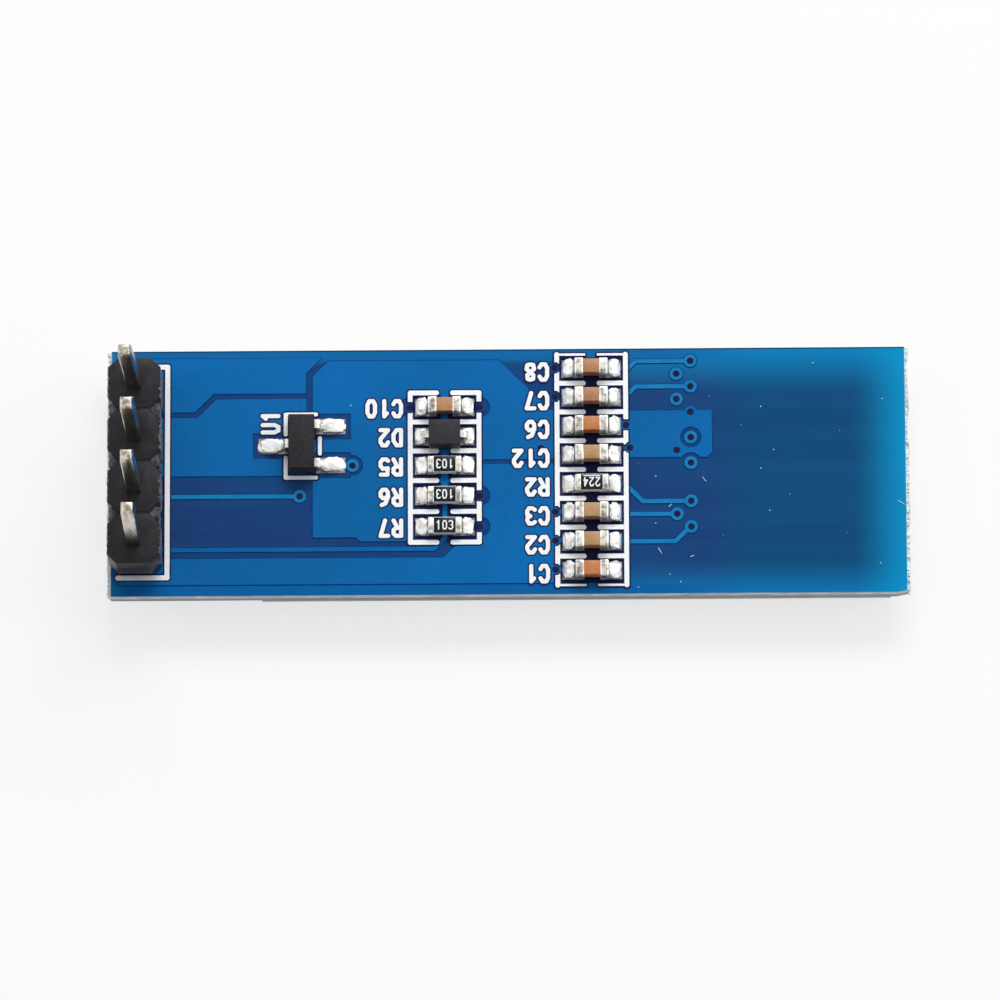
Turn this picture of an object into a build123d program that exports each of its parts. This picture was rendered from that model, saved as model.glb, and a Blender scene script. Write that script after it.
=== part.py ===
from build123d import *
import math
import os

# Small OLED display module: a narrow circuit board with a glass display panel under it,
# two columns of chip parts, a voltage regulator and a four-pin header on top.
# It lies glass down. X runs along the board, with the header at the low end, Y across it,
# and Z up. The origin is the centre of the board on the plane that the display rests on.
# All sizes are in millimetres.

# Circuit board
board_length = 38.0
board_width = 12.0
laminate_thickness = 0.9
copper_thickness = 0.035
mask_thickness = 0.02
legend_thickness = 0.015
score_depth = 0.28          # V-score left on both faces of each snapped end
score_half_angle = 15.0
torn_reach = 0.15           # torn glass fibres past the score line
torn_teeth = 12
torn_turn = 2.4             # how unevenly the teeth follow each other
nick_length = 0.55          # corner lost when the board was snapped off its panel
nick_depth = 0.12

# Display panel, from the resting plane up
polarizer_thickness = 0.2
substrate_thickness = 0.5
cap_glass_thickness = 0.5
tape_thickness = 0.4
glass_start = 7.2           # board end to glass end, at the header
glass_end_margin = 0.8      # the same at the far end
glass_side_margin = 0.25
ledge_length = 3.6          # bare substrate that carries the driver chip and the flex tail
polarizer_margin = 0.25
cavity_depth = 0.25
cavity_margin_x = 1.6
cavity_margin_y = 1.3
active_margin_x = 2.01      # cap glass edge to the emitting film
active_margin_y = 2.96
film_thickness = 0.02
tape_start = 1.3            # glass end to tape end, at the header side
tape_end_gap = 2.05         # tape end to the solder beads of the flex tail
tape_side_margin = 1.25
driver_width = 0.9
driver_side_margin = 1.25   # glass side to chip end
driver_height = 0.3
driver_gap = 0.35           # cap glass to driver chip

# Flex tail, bonded to the ledge and folded back under the board
flex_thickness = 0.1
flex_width = 8.7
flex_bond_length = 1.25
flex_fold_start = 0.1       # glass end to the start of the fold
contact_count = 14
contact_pitch = 0.625
contact_width = 0.35
contact_length = 0.95
contact_edge = 0.63         # board edge to the first contact
flex_joint_length = 0.45
flex_joint_foot = 0.2

# Pin header
pin_count = 4
pin_pitch = 2.54
pin_side = 0.64
pin_above = 6.86            # bare pin over the housing
pin_below = 1.2             # pin tail past the display side of the board
pin_tip_length = 0.4
pin_tip_side = 0.38
header_inset = 1.27         # board end to pin row
header_shift = 0.05         # the row sits a little off the board's middle line
housing_width = 2.5
housing_height = 2.54
housing_corner = 0.52
housing_edge = 0.08
housing_end_trim = 0.08     # moulding cut short at both ends of the row
foot_height = 0.25
foot_size = 0.5
header_hole = 1.02
barrel_wall = 0.025
header_pad = 1.7
header_mask_gap = 0.05
joint_height = 0.75
joint_slope = 25.0          # angle between the cone's side and the pin

# Vias
via_pad = 0.6
via_hole = 0.26
column_a_via = 1.66         # from the middle of the column
column_b_via = 1.74
column_b_via_rise = 0.06
regulator_via_step = 2.41   # from the middle of the regulator
regulator_via_y = 0.33
signal_via_step = 0.105
high_vias_y = 2.24          # two pairs of vias beside column B
low_vias_y = 1.12
high_vias_step = (-2.35, 1.64)
low_vias_step = (-2.41, 1.83)

# Places along the board, each measured from the one before it
regulator_step = 7.89       # from the pin row
column_a_step = 6.81
column_b_step = 7.0
flex_step = 4.03            # from column B to the end of the flex tail
near_via_step = 0.03        # from the end of the flex tail to the vias over it
far_via_step = 0.7

# Chip parts
cell_length = 1.6           # capacitor and resistor body, end to end
cell_width = 0.8
capacitor_height = 0.78
capacitor_end = 0.4
resistor_height = 0.45
resistor_end = 0.28
end_wall = 0.03
cell_edge = 0.05
overcoat_thickness = 0.03
overcoat_margin = 0.03
pad_inner = 0.38            # pad start and end, measured from the middle of the part
pad_outer = 1.42
pad_width = 0.86
joint_margin = 0.03         # pad edge to solder edge
joint_foot = 0.05
joint_rise = 0.6            # share of the part's height that the solder climbs
joint_corner = 0.2
joint_hollow = 0.35         # share of the rise that is left half way down the slope

# Legend frames round the two columns of chip parts
stroke = 0.23
thin_stroke = 0.11
frame_gap = 0.54
frame_half_length = 1.64
frame_break = 0.5           # gap in a frame line at a via
column_a_lines = [3.87, 2.44, 1.02, -0.43, -1.95, -3.45]
column_b_rows = 8
column_b_top_edge = 0.29    # board edge to the outer frame lines
column_b_low_edge = 0.42
clearance_edge = 0.12       # frame line to the copper-free field inside it
copper_bridge = 0.3

# Legend round the header and the regulator
header_stroke = 0.24
header_line_gap = 0.23      # housing side to the line's middle
header_line_top = 1.36
header_line_low = 1.34
header_line_stub = 0.4
header_line_reach = 0.85
outline_stroke = 0.19
outline_gap = 0.1
outline_far_gap = 0.19
outline_pad_gap = 0.2

# Regulator
regulator_y = 1.3
regulator_length = 2.9
regulator_width = 1.34
regulator_height = 1.0
body_draft = 0.07
body_standoff = 0.08
lead_thickness = 0.13
lead_bend = 0.08            # corner cut off the outside of a bend
lead_inner_bend = 0.03
lead_root = 0.3             # lead buried in the moulding
lead_knee = 0.12            # straight lead outside the moulding
lead_drop = 0.14
regulator_lead_width = 0.42
regulator_lead_reach = 1.22
regulator_lead_pitch = 1.9
regulator_pad_reach = 2.08
regulator_pad_width = 0.75
regulator_clearance = 0.26
regulator_joint_height = 0.3

# Diode
diode_length = 1.66
diode_width = 1.34
diode_height = 0.92
diode_lead_width = 0.34
diode_lead_reach = 1.22
diode_joint_height = 0.22

# Copper of the component side
track_width = 0.2
channel_width = 0.27        # copper-free channel between two pours
feed_edge_gap = 0.38
pour_edge_gap = 0.54
header_pour_reach = 0.8
channel_low_y = 2.85
channel_high_y = 3.75
channel_bend = 3.68         # from the pin row
far_channel = 0.2           # from the regulator
pour_turn = 0.73
supply_low_y = -0.15
main_left = 0.52            # from the regulator
main_right = 1.52           # from column B, towards the header
main_slope = 2.58           # from column A
main_shelf_y = 3.0
main_low_y = -3.38
main_step_start = 2.05
main_step = 0.2
joining = 1.03              # from column A
low_pour_y = -4.19
low_pour_slope = 1.1
far_pour_start = 1.53       # from column B
far_pour_end = 1.01         # past the far vias
far_pour_corner = 0.25
far_pour_overlap = (0.28, 0.07)
slit_start = 1.73           # from column A
slit_end = 1.37             # from column B, towards the header
slit_y = (0.36, 0.6)
signal_run_y = -1.16
ground_run_y = -3.76
ground_run_end = 0.53       # from column A, towards the header
far_jogs = (2.12, 2.43, 1.81)       # end of a far track's jog, from column B
last_jog = 0.05             # the same for the last track, back from the far vias
ring_clearance = 1.04
front_pour_gap = 1.8        # from the end of the flex tail

# Flats that stand for the round of each small hole and pad
hole_sides = 6
pad_sides = 8
header_sides = 12

# Levels
glass_z = polarizer_thickness
cap_z = glass_z + substrate_thickness
tape_z = cap_z + cap_glass_thickness
board_z = tape_z + tape_thickness
laminate_z = board_z + copper_thickness + mask_thickness
copper_z = laminate_z + laminate_thickness
pad_z = copper_z + copper_thickness
mask_z = pad_z + mask_thickness

# Places
half_length = board_length / 2
half_width = board_width / 2
octagon_cut = 1 - math.sqrt(0.5)    # corner taken off a square end to leave half an octagon
score_inset = score_depth * math.tan(math.radians(score_half_angle))
pin_x = -half_length + header_inset
pin_y = [header_shift + pin_pitch * ((pin_count - 1) / 2 - i) for i in range(pin_count)]
header_spots = [(pin_x, y) for y in pin_y]
regulator_x = pin_x + regulator_step
column_a_x = regulator_x + column_a_step
column_b_x = column_a_x + column_b_step
flex_end_x = column_b_x + flex_step
near_via_x = flex_end_x + near_via_step
far_via_x = flex_end_x + far_via_step
glass_left = -half_length + glass_start
glass_right = half_length - glass_end_margin
glass_half = half_width - glass_side_margin
cap_right = glass_right - ledge_length
contact_y = [half_width - contact_edge - contact_pitch * i for i in range(contact_count)]
flex_y = (contact_y[0] + contact_y[-1]) / 2

# Rows of chip parts, from high Y to low Y
column_b_pitch = (board_width - column_b_top_edge - column_b_low_edge) / column_b_rows
column_b_lines = [half_width - column_b_top_edge - column_b_pitch * i for i in range(column_b_rows + 1)]
column_a = [(a + b) / 2 for a, b in zip(column_a_lines, column_a_lines[1:])]
column_b = [(a + b) / 2 for a, b in zip(column_b_lines, column_b_lines[1:])]
column_a_parts = ["capacitor", "diode", "resistor", "resistor", "resistor"]
column_b_parts = ["capacitor"] * 4 + ["resistor"] + ["capacitor"] * 3
cells = [(kind, column_a_x, y) for kind, y in zip(column_a_parts, column_a)]
cells += [(kind, column_b_x, y) for kind, y in zip(column_b_parts, column_b)]
seats = {kind: [(x, y) for k, x, y in cells if k == kind] for kind in ("capacitor", "resistor", "diode")}


def flex_vias():
    """Vias over the end of the flex tail, by the number of the contact in line with each."""
    vias = {i: (near_via_x, contact_y[i]) for i in (1, 3, 7, 12)}
    vias.update({i: (far_via_x, contact_y[i]) for i in (0, 2, 4, 6, 8, 11, 13)})
    return vias


def column_vias():
    """Vias at the frames of column A, and those of column B."""
    beside_a = [(column_a_x + side * column_a_via, column_a[row])
                for side, row in ((-1, 0), (1, 0), (1, 3), (1, 4))]
    beside_b = [(column_b_x - column_b_via, column_b[row] + column_b_via_rise) for row in (0, 1, 5, 6, 7)]
    return beside_a, beside_b


def far_tracks():
    """Tracks from pads of column B to vias of the far field, each with one slanted jog."""
    start = column_b_x + pad_outer
    high, middle, low = (column_b_x + jog for jog in far_jogs)
    tracks = []
    for row, slot, turn_x in ((0, 0, high), (1, 2, high), (4, 11, middle), (5, 12, low),
                              (6, 13, far_via_x - last_jog)):
        y0, y1 = column_b[row], contact_y[slot]
        tracks.append([(start, y0), (turn_x - abs(y1 - y0), y0), (turn_x, y1), slot_via[slot]])
    return tracks


slot_via = flex_vias()
column_a_vias, column_b_vias = column_vias()
signal_via = (regulator_x - signal_via_step, signal_run_y)
regulator_via = (regulator_x + regulator_via_step, regulator_via_y)
spare_vias = [(column_b_x + step, high_vias_y) for step in high_vias_step]
spare_vias += [(column_b_x + step, low_vias_y) for step in low_vias_step]
vias = list(slot_via.values()) + column_a_vias + column_b_vias + spare_vias + [regulator_via, signal_via]
ringed_vias = column_a_vias + [regulator_via, slot_via[6], slot_via[8]]

# Regulator leads: side of the body and place along it
regulator_leads = [(-1, 0), (1, regulator_lead_pitch / 2), (1, -regulator_lead_pitch / 2)]

# Long tracks of the component side
ground_end_x = column_a_x - ground_run_end
signal_run = [(pin_x, signal_run_y), signal_via]
ground_run = [(pin_x, ground_run_y), (ground_end_x, ground_run_y),
              (column_a_x, ground_run_y + ground_run_end), (column_a_x, column_a[3])]


def save(shape, name):
    export_step(shape, f"parts/{name}.step")


def group(pieces):
    """One node of separate solids."""
    return Compound(children=[solid for piece in pieces for solid in piece.solids()])


def plate(sketch, z, thickness):
    return extrude(Pos(0, 0, z) * sketch, thickness, dir=(0, 0, 1))


def patch(x0, x1, y0, y1):
    return Pos((x0 + x1) / 2, (y0 + y1) / 2) * Rectangle(abs(x1 - x0), abs(y1 - y0))


def slab(x0, x1, y0, y1, z, thickness):
    return plate(patch(x0, x1, y0, y1), z, thickness)


def area(*points):
    return make_face(Polyline(*points, close=True))


def bar(profile, width):
    """A profile drawn in X and Z, as long as width along Y."""
    return extrude(Plane.XZ * profile, width / 2, both=True)


def line_mark(points, width):
    """A drawn line of straight runs, with each end rounded by flats."""
    runs = []
    for a, b in zip(points, points[1:]):
        reach = Vector(*b) - Vector(*a)
        middle = (Vector(*a) + Vector(*b)) / 2
        turn = math.degrees(math.atan2(reach.Y, reach.X))
        run = chamfer(Rectangle(reach.length + width, width).vertices(), width * octagon_cut)
        runs.append(Pos(middle.X, middle.Y) * Rot(0, 0, turn) * run)
    return Sketch() + runs


def rounds(places, diameter, sides):
    """Small circles, each drawn with a few flats."""
    shape = RegularPolygon(diameter / 2, sides, rotation=180 / sides)
    return [Pos(x, y) * shape for x, y in places]


# Bare board
def board_outline(inset):
    """Board seen from above, with its snapped ends moved in by inset."""
    x, y = half_length - inset, half_width
    nick_y = -y + nick_depth * (1 - inset / nick_length)
    return area((-x, -y), (half_length - nick_length, -y), (x, nick_y), (x, y), (-x, y))


def torn_outline():
    """The middle layer of the board, which tore unevenly between the two scores."""
    reach = [torn_reach * (1 + math.cos(torn_turn * i)) / 2 for i in range(torn_teeth)]
    rows = [half_width - board_width / torn_teeth * i for i in range(torn_teeth)]
    right = [(half_length + r, y) for r, y in zip(reach, rows)]
    left = [(-half_length - r, y) for r, y in zip(reach, rows)]
    return area(*right, (half_length, -half_width + nick_depth), (half_length - nick_length, -half_width),
                (-half_length, -half_width), *reversed(left))


def circuit_board():
    body = plate(board_outline(0), laminate_z, laminate_thickness)
    for side in (-1, 1):
        for z, way in ((laminate_z, 1), (copper_z, -1)):
            groove = area((side * half_length, z), (side * (half_length - score_inset), z),
                          (side * half_length, z + way * score_depth))
            body -= bar(groove, board_width)
    body += plate(torn_outline(), laminate_z + score_depth, laminate_thickness - 2 * score_depth)
    holes = rounds(vias, via_hole + 2 * barrel_wall, hole_sides)
    holes += rounds(header_spots, header_hole + 2 * barrel_wall, header_sides)
    return body - plate(Sketch() + holes, laminate_z, laminate_thickness)


def plated_barrels():
    tubes = []
    for places, bore, sides in ((vias, via_hole, hole_sides), (header_spots, header_hole, header_sides)):
        walls = zip(rounds(places, bore + 2 * barrel_wall, sides), rounds(places, bore, sides))
        tubes += [plate(outer - inner, laminate_z, laminate_thickness) for outer, inner in walls]
    return group(tubes)


# Copper, mask and legend of the component side
def regulator_pad(side, y, grow=0.0):
    """Pad of one regulator lead, or the field round it with its edges moved out by grow."""
    inner = regulator_width / 2 - grow
    reach = regulator_pad_reach + grow
    half = regulator_pad_width / 2 + grow
    return patch(regulator_x + side * inner, regulator_x + side * reach,
                 regulator_y + y - half, regulator_y + y + half)


def solder_pads():
    pads = [patch(x + side * pad_inner, x + side * pad_outer, y - pad_width / 2, y + pad_width / 2)
            for kind, x, y in cells for side in (-1, 1)]
    return pads + [regulator_pad(side, y) for side, y in regulator_leads]


def copper_pours():
    """The wide fields of copper, seen from above."""
    left = pin_x - header_pour_reach
    feed_top = half_width - feed_edge_gap
    top = half_width - pour_edge_gap
    gap = channel_width / 2
    bend_x = pin_x + channel_bend
    slope_x = bend_x - (channel_high_y - channel_low_y)
    far_x = regulator_x + far_channel
    feed = area((left, feed_top), (far_x + pour_turn, feed_top), (far_x, feed_top - pour_turn),
                (far_x, channel_high_y + gap), (bend_x, channel_high_y + gap), (slope_x, channel_low_y + gap),
                (left, channel_low_y + gap))
    supply = area((left, channel_low_y - gap), (slope_x + gap, channel_low_y - gap),
                  (bend_x + gap, channel_high_y - gap), (far_x, channel_high_y - gap), (far_x, supply_low_y),
                  (left, supply_low_y))
    main_x = regulator_x + main_left
    right_x = column_b_x - main_right
    main_top_x = column_a_x + main_slope
    step_x = main_x + main_step_start
    join_x = column_a_x + joining
    main = area((main_x, top - pour_turn), (main_x + pour_turn, top), (main_top_x, top),
                (main_top_x + top - main_shelf_y, main_shelf_y), (right_x, main_shelf_y), (right_x, -top),
                (join_x, -top), (join_x, main_low_y), (step_x + main_step, main_low_y),
                (step_x, main_low_y + main_step), (main_x, main_low_y + main_step))
    low = area((left, -top), (left, low_pour_y), (join_x - low_pour_slope, low_pour_y),
               (join_x, low_pour_y + low_pour_slope), (join_x, -top))
    far = patch(column_b_x + far_pour_start, far_via_x + far_pour_end, contact_y[8] + far_pour_overlap[0],
                contact_y[4] + far_pour_overlap[1])
    far = chamfer(far.vertices().sort_by(Axis.X)[-2:].sort_by(Axis.Y)[0], far_pour_corner)
    return [feed, supply, main, low, far]


def copper_clearings():
    """What is cut out of the fields round vias, tracks, regulator pads and the cells of column A."""
    clear = rounds(ringed_vias, ring_clearance, header_sides)
    clear.append(patch(column_a_x + slit_start, column_b_x - slit_end, *slit_y))
    clear.append(line_mark(ground_run, track_width + channel_width))
    clear += [regulator_pad(side, y, regulator_clearance) for side, y in regulator_leads]
    inner, outer = copper_bridge / 2, frame_half_length - clearance_edge
    for high, low in zip(column_a_lines, column_a_lines[1:]):
        clear += [patch(column_a_x + side * inner, column_a_x + side * outer, high - stroke / 2,
                        low + stroke / 2) for side in (-1, 1)]
    return clear


def via_holes():
    return Sketch() + rounds(vias, via_hole, hole_sides)


def back_copper():
    tracks = [signal_run, ground_run] + far_tracks()
    added = [line_mark(track, track_width) for track in tracks] + solder_pads()
    added += rounds(vias, via_pad, pad_sides) + rounds(header_spots, header_pad, header_sides)
    plan = Sketch() + copper_pours() - copper_clearings() + added
    plan -= [via_holes()] + rounds(header_spots, header_hole, header_sides)
    return plate(plan, copper_z, copper_thickness)


def back_solder_mask(copper):
    """Film that fills the gaps in the copper and covers it, open at the pads and closed over the vias."""
    openings = solder_pads() + rounds(header_spots, header_pad + 2 * header_mask_gap, header_sides)
    film = board_outline(score_inset) - (Sketch() + openings)
    return plate(film, copper_z, mask_z - copper_z) - copper - plate(via_holes(), copper_z, copper_thickness)


def frame_marks(x, lines, end_stroke):
    """Ladder-shaped frame round one column: rungs with a gap in the middle, rails broken at vias."""
    marks = []
    for i, y in enumerate(lines):
        width = end_stroke if i in (0, len(lines) - 1) else stroke
        inner = (frame_gap + width) / 2
        marks += [line_mark([(x + side * frame_half_length, y), (x + side * inner, y)], width)
                  for side in (-1, 1)]
    for side in (-1, 1):
        rail_x = x + side * frame_half_length
        breaks = sorted(y for via_x, y in vias if abs(via_x - rail_x) < via_pad / 2)
        starts = [lines[-1]] + [y + frame_break / 2 for y in breaks]
        stops = [y - frame_break / 2 for y in breaks] + [lines[0]]
        marks += [line_mark([(rail_x, a), (rail_x, b)], stroke) for a, b in zip(starts, stops)]
    return marks


def back_legend():
    marks = frame_marks(column_a_x, column_a_lines, stroke)
    marks += frame_marks(column_b_x, column_b_lines, thin_stroke)

    line_x = pin_x + housing_width / 2 + header_line_gap
    top, low = pin_y[0] + header_line_top, pin_y[-1] - header_line_low
    marks.append(line_mark([(line_x - header_line_stub, top), (line_x, top), (line_x, low),
                            (pin_x - header_line_reach, low)], header_stroke))

    x0 = regulator_x - regulator_width / 2 - outline_gap
    x1 = regulator_x + regulator_width / 2 + outline_far_gap
    reach = regulator_length / 2 + outline_gap
    pad = regulator_pad_width / 2 + outline_pad_gap
    end = regulator_x + regulator_width / 2
    for side in (-1, 1):
        marks.append(line_mark([(x0, regulator_y + side * pad), (x0, regulator_y + side * reach),
                                (end, regulator_y + side * reach)], outline_stroke))
    pad = regulator_lead_pitch / 2 - pad
    marks.append(line_mark([(x1, regulator_y + pad), (x1, regulator_y - pad)], outline_stroke))

    ink = Sketch() + marks - rounds(vias, via_pad, pad_sides)
    return plate(ink & board_outline(score_inset), mask_z, legend_thickness)


# Copper and mask of the display side
def front_copper():
    pads = [patch(flex_end_x - contact_length, flex_end_x + contact_length,
                  y - contact_width / 2, y + contact_width / 2) for y in contact_y]
    edge = half_width - pour_edge_gap
    pads.append(patch(pin_x + header_pad / 2 + channel_width, flex_end_x - front_pour_gap, -edge, edge))
    sheet = Sketch() + pads + rounds(header_spots, header_pad, header_sides)
    sheet -= rounds(header_spots, header_hole, header_sides)
    return plate(sheet, laminate_z - copper_thickness, copper_thickness)


def front_solder_mask(copper):
    depth = laminate_z - board_z
    window = patch(flex_end_x - contact_length - contact_width, flex_end_x + contact_length + contact_width,
                   contact_y[0] + contact_width, contact_y[-1] - contact_width)
    openings = [window] + rounds(header_spots, header_pad + 2 * header_mask_gap, header_sides)
    film = board_outline(score_inset) - (Sketch() + openings)
    return plate(film, board_z, depth) - copper


# Pin header
def header_housing():
    """Octagonal blocks moulded in one row, each on four feet and with a square bore."""
    plan = chamfer(Rectangle(housing_width, pin_pitch).vertices(), housing_corner)
    block = extrude(plan, housing_height)
    block = chamfer(block.edges().group_by(Axis.Z)[-1], housing_edge)
    block -= extrude(Rectangle(housing_width - 2 * foot_size, pin_pitch), foot_height)
    block -= extrude(Rectangle(housing_width, pin_pitch - 2 * housing_corner - 2 * foot_size), foot_height)
    block -= extrude(Rectangle(pin_side, pin_side), housing_height)
    row = Part() + [Pos(pin_x, y, mask_z) * block for y in pin_y]
    length = pin_pitch * pin_count - 2 * housing_end_trim
    ends = extrude(Rectangle(housing_width, length), housing_height)
    return row & Pos(pin_x, header_shift, mask_z) * ends


def header_pin(y):
    low = board_z - pin_below
    high = mask_z + housing_height + pin_above
    shaft = extrude(Rectangle(pin_side, pin_side), high - low - 2 * pin_tip_length)
    tip = loft([Rectangle(pin_side, pin_side),
                Pos(0, 0, pin_tip_length) * Rectangle(pin_tip_side, pin_tip_side)])
    pin = Pos(0, 0, low + pin_tip_length) * (shaft + mirror(tip, Plane.XY))
    pin += Pos(0, 0, high - pin_tip_length) * tip
    return Pos(pin_x, y, 0) * pin


def header_joint(y, pin):
    """Solder that fills the plated hole and stands as a cone round the pin tail."""
    base = laminate_z - copper_thickness
    hole, foot = (rounds([(pin_x, y)], size, header_sides)[0] for size in (header_hole, header_pad))
    cone = extrude(Pos(0, 0, base) * foot, joint_height, dir=(0, 0, -1), taper=joint_slope)
    return cone + plate(hole, base, pad_z - base) - pin


# Moulded parts with bent leads
def moulded_body(length, width, height):
    """Body with drafted walls that meet at the line where the leads come out."""
    low, high = body_standoff, body_standoff + height
    middle = (low + high) / 2
    small = Rectangle(length - 2 * body_draft, width - 2 * body_draft)
    large = Rectangle(length, width)
    lower = loft([Pos(0, 0, low) * small, Pos(0, 0, middle) * large])
    return lower + loft([Pos(0, 0, middle) * large, Pos(0, 0, high) * small])


def gull_lead(half_body, height, reach, width):
    """Flat lead, out of the body at mid height, down and out along the pad, towards high X."""
    start = half_body - lead_root
    rise = body_standoff + (height - lead_thickness) / 2
    top = rise + lead_thickness
    knee = half_body + lead_knee + lead_thickness / 2
    foot = knee + lead_drop
    lean = lead_drop / rise
    outer, inner = lead_bend, lead_inner_bend
    upper = [(start, rise), (start, top), (knee - outer, top), (knee + lean * outer, top - outer),
             (foot - lean * inner, lead_thickness + inner), (foot + inner, lead_thickness)]
    under = foot - lead_thickness
    inside = knee - lead_thickness
    lower = [(reach, lead_thickness), (reach, 0), (under + outer, 0), (under - lean * outer, outer),
             (inside + lean * inner, rise - inner), (inside - inner, rise)]
    return bar(area(*upper, *lower), width)


def lead_joint(start, end, width, height):
    """Mound of solder over a lead foot, from start to end along X, sloping down to its far end."""
    mound = area((-width / 2, 0), (-width / 4, height), (width / 4, height), (width / 2, 0))
    run = extrude(Plane.YZ * mound, end - start, dir=(1, 0, 0))
    side = area((start, 0), (end, 0), (end, joint_foot), (end - width / 2, height), (start, height))
    return Pos(start, 0, 0) * run & bar(side, width)


def place_lead(piece, side, x, y):
    return Pos(x, y, pad_z) * Rot(0, 0, 90 - side * 90) * piece


def regulator():
    lead = gull_lead(regulator_width / 2, regulator_height, regulator_lead_reach, regulator_lead_width)
    leads = [place_lead(lead, side, regulator_x, regulator_y + y) for side, y in regulator_leads]
    body = moulded_body(regulator_width, regulator_length, regulator_height)
    body = Pos(regulator_x, regulator_y, pad_z) * body - leads
    joint = lead_joint(regulator_width / 2 + lead_knee, regulator_pad_reach - joint_margin,
                       regulator_pad_width - 2 * joint_margin, regulator_joint_height) - lead
    joints = [place_lead(joint, side, regulator_x, regulator_y + y) for side, y in regulator_leads]
    return body, leads, joints


def diode(x, y):
    lead = gull_lead(diode_length / 2, diode_height, diode_lead_reach, diode_lead_width)
    leads = [place_lead(lead, side, x, y) for side in (-1, 1)]
    body = Pos(x, y, pad_z) * moulded_body(diode_length, diode_width, diode_height) - leads
    joint = lead_joint(diode_length / 2 + lead_knee, pad_outer - joint_margin,
                       pad_width - 2 * joint_margin, diode_joint_height) - lead
    return body, leads, [place_lead(joint, side, x, y) for side in (-1, 1)]


# Chip parts
def chip_ends(whole, core, length):
    """The two metal ends of a chip part: what is left of the whole outside its core."""
    middle = Box(cell_length - 2 * length, 2 * cell_width, 4 * capacitor_height)
    return whole - core - middle


def capacitor():
    whole = extrude(Rectangle(cell_length, cell_width), capacitor_height)
    whole = chamfer(whole.edges().filter_by(Axis.Z) + whole.edges().group_by(Axis.Z)[-1], cell_edge)
    core = Pos(0, 0, end_wall) * extrude(Rectangle(cell_length - 2 * end_wall, cell_width - 2 * end_wall),
                                         capacitor_height - 2 * end_wall)
    return core, chip_ends(whole, core, capacitor_end)


def resistor():
    whole = extrude(Rectangle(cell_length, cell_width), resistor_height)
    whole = chamfer(whole.edges().filter_by(Axis.Y), cell_edge)
    core = Pos(0, 0, end_wall) * extrude(Rectangle(cell_length - 2 * end_wall, cell_width),
                                         resistor_height - 2 * end_wall)
    coat = Pos(0, 0, resistor_height - end_wall) * extrude(
        Rectangle(cell_length - 2 * resistor_end, cell_width - 2 * overcoat_margin), overcoat_thickness)
    return core, chip_ends(whole, core, resistor_end), coat


def chip_joint(height):
    """Solder that climbs the end of a chip part, with a hollow slope down to the pad edge."""
    start, end = cell_length / 2, pad_outer - joint_margin
    middle = (start + end) / 2
    top = height * joint_rise
    slope = area((start, 0), (end, 0), (end, joint_foot), (middle, top * joint_hollow), (start, top))
    plan = Pos(middle, 0) * Rectangle(end - start, pad_width - 2 * joint_margin)
    plan = chamfer(plan.vertices().sort_by(Axis.X)[-2:], joint_corner)
    return bar(slope, pad_width) & extrude(plan, height)


def chip_joints():
    joints = []
    for kind, height in (("capacitor", capacitor_height), ("resistor", resistor_height)):
        joint = chip_joint(height)
        joints += [place_lead(joint, side, x, y) for x, y in seats[kind] for side in (-1, 1)]
    return group(joints)


# Display panel and flex tail
def glass_slab(x0, x1, margin, z, thickness):
    """Slab in the display panel, with its sides a margin inside those of the glass."""
    return slab(x0, x1, margin - glass_half, glass_half - margin, z, thickness)


def cap_glass():
    body = glass_slab(glass_left, cap_right, 0, cap_z, cap_glass_thickness)
    return body - glass_slab(glass_left + cavity_margin_x, cap_right - cavity_margin_x, cavity_margin_y,
                             cap_z, cavity_depth)


def flex_tail():
    """Film bonded on the glass ledge, folded back on itself and led under the board."""
    fold_x = glass_right + flex_fold_start
    low, high = cap_z, board_z
    radius = (high - low) / 2
    fold = Circle(radius) - Circle(radius - flex_thickness)
    fold &= patch(0, 2 * radius, -2 * radius, 2 * radius)
    profile = Pos(fold_x, (low + high) / 2) * fold
    profile += patch(glass_right - flex_bond_length, fold_x, low, low + flex_thickness)
    profile += patch(flex_end_x, fold_x, high - flex_thickness, high)
    return Pos(0, flex_y, 0) * bar(profile, flex_width)


def flex_contacts():
    half = contact_width / 2
    return group([slab(flex_end_x, flex_end_x + contact_length, y - half, y + half, board_z, mask_thickness)
                  for y in contact_y])


def flex_joints():
    """One bead for each contact, from the end of the film to the pad above it."""
    top = board_z + mask_thickness
    low = board_z - flex_thickness
    start = flex_end_x - flex_joint_length
    bead = bar(area((start, top), (flex_end_x, top), (flex_end_x, low), (start + flex_joint_foot, low)),
               contact_width)
    return group([Pos(0, y, 0) * bead for y in contact_y])


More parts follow.
